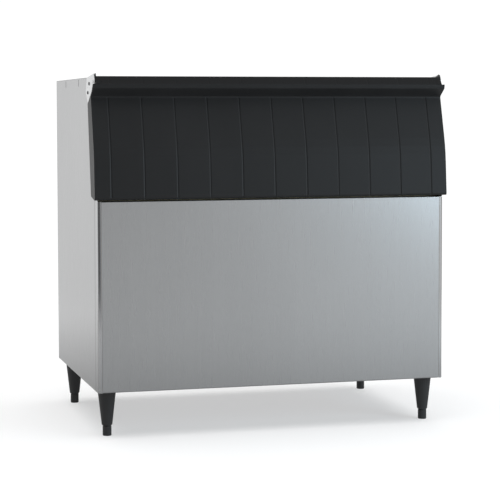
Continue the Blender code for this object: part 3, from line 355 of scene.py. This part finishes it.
PAN_GREY = moulded_plastic("pan_grey", PAN_TONES, roughness=(0.45, 0.55), pebbles=700.0)
FITTING_GREY = moulded_plastic("fitting_grey", FITTING_TONES, roughness=(0.4, 0.5), pebbles=600.0)
LINER_WHITE = moulded_plastic("liner_white", LINER_TONES, roughness=(0.32, 0.42), pebbles=420.0,
                              relief=0.00002)
FOAM_CREAM = moulded_plastic("foam_cream", FOAM_TONES, roughness=(0.85, 0.95), pebbles=320.0,
                             relief=0.0004)
RUBBER = moulded_plastic("gasket_rubber", RUBBER_TONES, roughness=(0.6, 0.72), pebbles=1500.0)

# Finish of the CAD nodes by the first of these words found in their names; the rest are zinc
FINISHES = (("side_panel", STEEL_FOLDED), ("front_panel", STEEL_UPRIGHT), ("top_frame", STEEL_FLAT),
            ("hinge_", BRIGHT), ("screw", SCREW_DARK), ("door_shell", DOOR_BLACK_SHADE_BANDED),
            ("end_cap", CAP_BLACK), ("inner_pan", PAN_GREY), ("gasket", RUBBER), ("foam", FOAM_CREAM),
            ("leg_socket", ZINC), ("leg_", LEG_BLACK), ("foot_", FOOT_BLACK), ("drain", FITTING_GREY),
            ("liner", LINER_WHITE), ("baffle", LINER_WHITE), ("seat_plate", LINER_WHITE))

# Fasteners: radius, rise, finish, slot and whether the head has a cross recess
BACK_SCREW = (0.0055, 0.0013, SCREW_DARK, "dark_screw", True)
SOCKET_RIVET = (0.0042, 0.0020, ZINC, "galvanised_steel", False)
HEM_SCREW = (0.0048, 0.0018, BRIGHT, "bright_steel", True)


def dress_nodes():
    """Gives every CAD node its finish."""
    for name, node in NODES.items():
        found = [finish for word, finish in FINISHES if word in name]
        node.data.materials.clear()
        node.data.materials.append(found[0] if found else ZINC)


def front_top():
    """Depth and height of the cabinet's front top edge."""
    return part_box("left_side_panel")[0][1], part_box("top_frame")[1][2]


def add_piece(name, mesh, body, material):
    """A new piece that rides on a body."""
    mesh.materials.clear()
    mesh.materials.append(material)
    piece = bpy.data.objects.new(name, mesh)
    bpy.context.collection.objects.link(piece)
    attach(piece, body)
    return piece


def cheek(shape, plane):
    """Faces of a mesh that lie in an upright plane across the bin."""
    return [face for face in shape.faces
            if all(abs(vert.co.x - plane) < FLANGE_MATCH for vert in face.verts)]


def door_moulding():
    """Door shell whose side flanges start lower under the lip, as photographed."""
    front, top = front_top()
    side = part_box("door_shell")[1][0]
    mesh = NODES["door_shell"].data.copy()
    shape = bmesh.new()
    shape.from_mesh(mesh)
    for plane in (-side, side):
        corners = [vert for face in cheek(shape, plane) for vert in face.verts]
        bmesh.ops.remove_doubles(shape, verts=corners, dist=WELD)
        bmesh.ops.dissolve_faces(shape, faces=cheek(shape, plane))
    for vert in shape.verts:
        if abs(vert.co.x) <= side - FLANGE_THICKNESS:
            continue
        for (setback, drop), (new_setback, new_drop) in zip(FLANGE_PACKED, FLANGE_LOWERED):
            gap = max(abs(vert.co.y - front - setback), abs(top - vert.co.z - drop))
            if gap < FLANGE_MATCH:
                vert.co = (vert.co.x, front + new_setback, top - new_drop)
                break
    shape.to_mesh(mesh)
    shape.free()
    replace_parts(add_piece("door_moulding", mesh, "door", DOOR_BLACK_SHADE_BANDED), "door_shell")


def softened(corners):
    """Closed outline whose corners are rounded by their radii."""
    made = []
    for index, (x, y, radius) in enumerate(corners):
        here = Vector((x, y))
        before = (Vector(corners[index - 1][:2]) - here).normalized()
        after = (Vector(corners[(index + 1) % len(corners)][:2]) - here).normalized()
        trim = radius / math.tan(before.angle(after) / 2)
        start = here + before * trim
        end = here + after * trim
        for step in range(CORNER_STEPS + 1):
            share = step / CORNER_STEPS
            made.append(start.lerp(here, share).lerp(here.lerp(end, share), share))
    return made


def circle(x, y, radius):
    """Closed round outline."""
    turns = [2 * math.pi * step / ROUND_SIDES for step in range(ROUND_SIDES)]
    return [Vector((x + radius * math.cos(turn), y + radius * math.sin(turn))) for turn in turns]


def bracket_plate(label):
    """Hinge plate whose lower edge runs on behind the door's flange."""
    node_name = "hinge_bracket_" + label
    front, top = front_top()
    low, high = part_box(node_name)
    drawing = bpy.data.curves.new("bracket_outline", "CURVE")
    drawing.dimensions = "2D"
    drawing.fill_mode = "BOTH"
    drawing.extrude = (high[0] - low[0]) / 2
    for loop in [softened(BRACKET_CORNERS)] + [circle(*hole) for hole in BRACKET_HOLES]:
        line = drawing.splines.new("POLY")
        line.points.add(len(loop) - 1)
        for point, place in zip(line.points, loop):
            point.co = (place.x, place.y, 0, 1)
        line.use_cyclic_u = True
    sketch = bpy.data.objects.new("bracket_outline", drawing)
    mesh = bpy.data.meshes.new_from_object(sketch)
    bpy.data.objects.remove(sketch)
    middle = (low[0] + high[0]) / 2
    for vert in mesh.vertices:
        vert.co = (middle + vert.co.z, front + vert.co.x, top - vert.co.y)
    shape = bmesh.new()
    shape.from_mesh(mesh)
    bmesh.ops.remove_doubles(shape, verts=shape.verts, dist=WELD)
    bmesh.ops.recalc_face_normals(shape, faces=shape.faces)
    for face in shape.faces:
        face.smooth = False
    shape.to_mesh(mesh)
    shape.free()
    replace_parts(add_piece("bracket_plate_" + label, mesh, "cabinet", BRIGHT), node_name)


def evenly(start, end, count):
    """Places at equal steps, both ends among them."""
    return [start + (end - start) * step / (count - 1) for step in range(count)]


def ring(shape, spot, turn, radii, level):
    """Ring of mesh corners round a spot, with a radius for each corner."""
    made = []
    for step, reach in enumerate(radii):
        angle = 2 * math.pi * (step + 0.5) / ROUND_SIDES
        corner = Vector((reach * math.cos(angle), reach * math.sin(angle), level))
        made.append(shape.verts.new(Vector(spot) + turn @ corner))
    return made


def heads(name, spots, facing, kind):
    """Low domed screw heads with a cross recess, or rivet heads with a crown, in one piece on the cabinet."""
    radius, rise, material, slot, cross = kind
    levels = [([radius] * ROUND_SIDES, -HEAD_SINK)]
    levels += [([radius * reach] * ROUND_SIDES, rise * share) for reach, share in HEAD_DOME]
    if cross:
        arms = [CROSS_REACH if step % 4 in (0, 3) else CROSS_WAIST for step in range(ROUND_SIDES)]
        levels.append(([radius * share for share in arms], rise))
        levels.append(([radius * share * CROSS_TAPER for share in arms], rise * CROSS_FLOOR))
    else:
        levels.append(([radius * CROWN_REACH] * ROUND_SIDES, rise * CROWN_RISE))
    turn = Vector((0, 0, 1)).rotation_difference(Vector(facing)).to_matrix()
    shape = bmesh.new()
    for spot in spots:
        rings = [ring(shape, spot, turn, radii, level) for radii, level in levels]
        for lower, upper in zip(rings, rings[1:]):
            for step in range(ROUND_SIDES):
                after = (step + 1) % ROUND_SIDES
                shape.faces.new((lower[step], lower[after], upper[after], upper[step]))
        shape.faces.new(rings[0][::-1])
        shape.faces.new(rings[-1])
    bmesh.ops.recalc_face_normals(shape, faces=shape.faces)
    mesh = bpy.data.meshes.new(name)
    shape.to_mesh(mesh)
    shape.free()
    for face in mesh.polygons:
        face.use_smooth = len(face.vertices) == 4
    add_piece(name, mesh, "cabinet", material)


def back_screws():
    """Screws down both sides of the back panel and along its foot and top."""
    low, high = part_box("back_panel")
    columns = evenly(low[2] + BACK_SCREW_MARGIN, high[2] - BACK_SCREW_MARGIN, BACK_SCREW_COUNT)
    inner = high[0] - BACK_SCREW_INSET
    for side, sign in (("left", -1), ("right", 1)):
        heads("back_screws_" + side, [(sign * inner, high[1], level) for level in columns], (0, 1, 0),
              BACK_SCREW)
    across = evenly(-inner, inner, SILL_SCREW_COUNT + 2)[1:-1]
    for place, level in (("foot", columns[0]), ("top", columns[-1])):
        heads("back_screws_" + place, [(x, high[1], level) for x in across], (0, 1, 0), BACK_SCREW)


def socket_rivets():
    """Four rivets under each leg socket."""
    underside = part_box("bottom_panel")[0][2]
    for node_name in NODES:
        if not node_name.startswith("leg_socket_"):
            continue
        low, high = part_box(node_name)
        middle = ((low[0] + high[0]) / 2, (low[1] + high[1]) / 2)
        spots = [(middle[0] + SOCKET_RIVET_REACH * x, middle[1] + SOCKET_RIVET_REACH * y, underside)
                 for x in (-1, 1) for y in (-1, 1)]
        heads(node_name.replace("leg_socket", "socket_rivets"), spots, (0, 0, -1), SOCKET_RIVET)


def hem_screws():
    """Screws in the bottom hems of the side panels."""
    for side, sign in (("left", -1), ("right", 1)):
        low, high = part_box(side + "_side_panel")
        edge = max(abs(low[0]), abs(high[0])) - HEM_SCREW_INSET
        rows = evenly(low[1] + HEM_SCREW_MARGIN, high[1] - HEM_SCREW_MARGIN, HEM_SCREW_COUNT)
        heads("hem_screws_" + side, [(sign * edge, y, low[2]) for y in rows], (0, 0, -1), HEM_SCREW)


def floor():
    """Pale floor with a soft glow, and a painted shadow near the bin that only the steel's mirror image of it
    shows.
    """
    bpy.ops.mesh.primitive_plane_add(size=FLOOR_SIZE, location=(0, 0, 0))
    plate = bpy.context.object
    plate.name = "floor"
    made, inputs, graph = blank("floor_white", Roughness=FLOOR_ROUGHNESS, Emission_Color=WHITE)
    reach = graph.add("ShaderNodeVectorMath", operation="LENGTH")
    graph.feed(reach.inputs[0], graph.place())
    shade = graph.spread(reach.outputs["Value"], MIRRORED_SHADE, 0, MIRRORED_SHADE_NEAR, MIRRORED_SHADE_FAR)
    ray = graph.add("ShaderNodeLightPath")
    # Painted shadow: for mirrored rays the floor is darker near the bin
    mirrored = graph.calculate("MULTIPLY", ray.outputs["Is Glossy Ray"], shade)
    graph.feed(inputs["Emission Strength"], graph.spread(mirrored, FLOOR_GLOW, 0, 0, 1))
    graph.feed(inputs["Base Color"], graph.mix(mirrored, FLOOR_COLOUR, BLACK))
    plate.data.materials.append(made)


def surroundings():
    """World whose brightness changes round the bin, with a plain backdrop behind it."""
    world = bpy.data.worlds.new("studio")
    bpy.context.scene.world = world
    world.use_nodes = True
    graph = Graph(world.node_tree)
    way = graph.add("ShaderNodeTexCoord")
    split = graph.add("ShaderNodeSeparateXYZ")
    graph.feed(split.inputs["Vector"], way.outputs["Generated"])
    ahead = graph.calculate("MULTIPLY", split.outputs["Y"], -1)
    angle = graph.calculate("ARCTAN2", split.outputs["X"], ahead)
    ramp = graph.add("ShaderNodeValToRGB")
    graph.feed(ramp.inputs["Fac"], graph.spread(angle, 0, 1, -math.pi, math.pi))
    stops = ramp.color_ramp.elements
    while len(stops) < len(SURROUNDINGS):
        stops.new(1)
    for stop, (degrees, value) in zip(stops, SURROUNDINGS):
        stop.position = (degrees + 180) / 360
        stop.color = (value, value, value, 1)
    high = graph.spread(split.outputs["Z"], 0, 1, CEILING_STARTS, CEILING_FULL)
    around = graph.mix(high, ramp.outputs["Color"], CEILING)
    ray = graph.add("ShaderNodeLightPath")
    soft = graph.mix(ray.outputs["Is Diffuse Ray"], around, AMBIENT)
    seen = graph.mix(ray.outputs["Is Camera Ray"], soft, BACKDROP)
    graph.feed(world.node_tree.nodes["Background"].inputs["Color"], seen)


def lamps():
    """Wide soft light from above, and a softbox that the camera doesn't see."""
    sun = bpy.data.lights.new("soft_top_light", "SUN")
    sun.energy = TOP_LIGHT_STRENGTH
    sun.angle = math.radians(TOP_LIGHT_DEGREES)
    lamp = bpy.data.objects.new("soft_top_light", sun)
    lamp.visible_glossy = False
    bpy.context.collection.objects.link(lamp)
    panel = bpy.data.lights.new("softbox", "AREA")
    panel.shape = "RECTANGLE"
    panel.size, panel.size_y = SOFTBOX_SIZE
    panel.energy = SOFTBOX_POWER
    panel.color = SOFTBOX_COLOUR
    holder = bpy.data.objects.new("softbox", panel)
    holder.visible_camera = False
    holder.location = SOFTBOX_PLACE
    holder.rotation_mode = "QUATERNION"
    holder.rotation_quaternion = (holder.location - Vector(SOFTBOX_AIM)).to_track_quat("Z", "Y")
    bpy.context.collection.objects.link(holder)


def camera():
    """Camera at the photograph's place, turned, tilted and rolled as it was."""
    lens = bpy.data.cameras.new("camera")
    lens.sensor_width = SENSOR_WIDTH
    lens.lens = FOCAL_SHARE * SENSOR_WIDTH
    lens.shift_y = -SHIFT
    lens.clip_end = VIEW_END
    made = bpy.data.objects.new("camera", lens)
    made.location = CAMERA_PLACE
    turn = Matrix.Rotation(-math.radians(CAMERA_TURN), 3, "Z")
    tilt = Matrix.Rotation(math.radians(90 - CAMERA_TILT), 3, "X")
    roll = Matrix.Rotation(math.radians(CAMERA_ROLL), 3, "Z")
    made.rotation_euler = (turn @ tilt @ roll).to_euler()
    bpy.context.collection.objects.link(made)
    bpy.context.scene.camera = made


dress_nodes()
door_moulding()
bracket_plate("left")
bracket_plate("right")
back_screws()
socket_rivets()
hem_screws()
floor()
surroundings()
lamps()
camera()
bpy.context.scene.view_settings.view_transform = "Standard"
